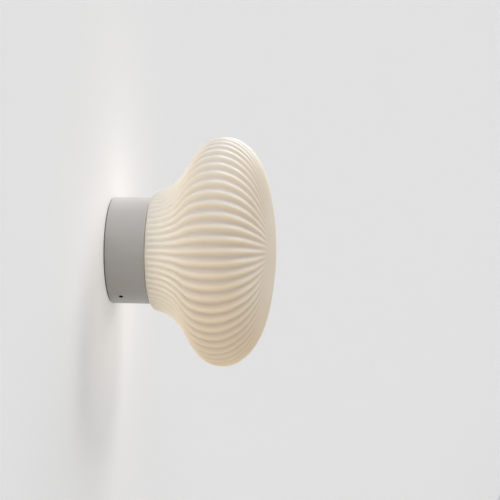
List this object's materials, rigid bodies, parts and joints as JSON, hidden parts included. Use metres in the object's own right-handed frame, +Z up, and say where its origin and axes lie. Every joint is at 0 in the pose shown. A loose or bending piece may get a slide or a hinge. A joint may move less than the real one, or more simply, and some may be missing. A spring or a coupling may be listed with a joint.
{
  "type": "wall light",
  "caption": "Bathroom wall light with a round metal base and a mushroom-shaped fluted opal glass shade that unscrews from it.",
  "frame": {"origin": "centre of the base on the wall plane, where the supply cable enters", "axes": "+Z up, -Y out of the wall along the light's axis, +X to the right seen from the room"},
  "size_m": [0.215, 0.153, 0.215],
  "materials": {
    "seal_rubber": "matt",
    "bracket_steel": "zinc plated",
    "grommet_rubber": "matt",
    "base_paint": "satin",
    "screw_steel": "bright",
    "carrier_plastic": "satin",
    "holder_plastic": "satin",
    "contact_brass": "bright",
    "block_plastic": "satin",
    "live_sleeve": "satin",
    "neutral_sleeve": "satin",
    "earth_sleeve": "satin",
    "cap_metal": "bright",
    "cap_insulator": "gloss",
    "lamp_plastic": "satin",
    "board_aluminium": "matt",
    "lamp_diffuser": "satin",
    "glass_seal": "matt",
    "opal_glass": "satin opal"
  },
  "bodies": {
    "base": {"wall_seal": "seal_rubber", "mounting_bracket": "bracket_steel", "cable_grommet": "grommet_rubber", "base_housing": "base_paint", "grub_screw_right": "screw_steel", "grub_screw_left": "screw_steel", "glass_carrier": "carrier_plastic", "carrier_screws": "screw_steel", "lampholder_body": "holder_plastic", "lampholder_shell": "contact_brass", "lampholder_contact": "contact_brass", "lampholder_screws": "screw_steel", "terminal_block": "block_plastic", "terminal_barrels": "contact_brass", "terminal_screws": "screw_steel", "block_screw": "screw_steel", "bracket_earth_screw": "contact_brass", "live_lead": "live_sleeve", "neutral_lead": "neutral_sleeve", "earth_lead": "earth_sleeve", "earth_tag": "contact_brass", "earth_screw": "screw_steel"},
    "shade_seal": {"shade_seal": "glass_seal"},
    "neck_ring": {"neck_ring": "glass_seal"},
    "shade": {"shade": "opal_glass"},
    "lamp_tip": {"lamp_tip_contact": "cap_metal", "lamp_cap_insulator": "cap_insulator"},
    "lamp": {"lamp_cap": "cap_metal", "lamp_housing": "lamp_plastic", "lamp_led_board": "board_aluminium", "lamp_globe": "lamp_diffuser"}
  },
  "joints": [
    {"name": "shade_lift_off", "type": "slide", "parent": "base", "child": "shade_seal", "axis": [0, -1, 0], "range_m": [0, 0.09]},
    {"name": "shade_travel", "type": "slide", "parent": "shade_seal", "child": "neck_ring", "axis": [0, -1, 0], "range_m": [0, 0.0091]},
    {"name": "shade_turn", "type": "hinge", "parent": "neck_ring", "child": "shade", "pos_m": [0, 0, 0], "axis": [0, -1, 0], "range_deg": [0, 810]},
    {"name": "lamp_travel", "type": "slide", "parent": "base", "child": "lamp_tip", "axis": [0, -1, 0], "range_m": [0, 0.0153]},
    {"name": "lamp_turn", "type": "hinge", "parent": "lamp_tip", "child": "lamp", "pos_m": [0, 0, 0], "axis": [0, -1, 0], "range_deg": [0, 1944]}
  ],
  "couplings": [
    {"joint": "shade_travel", "follows": "shade_turn", "m_per_rad": 0.00063662},
    {"joint": "lamp_travel", "follows": "lamp_turn", "m_per_rad": 0.00044913}
  ]
}
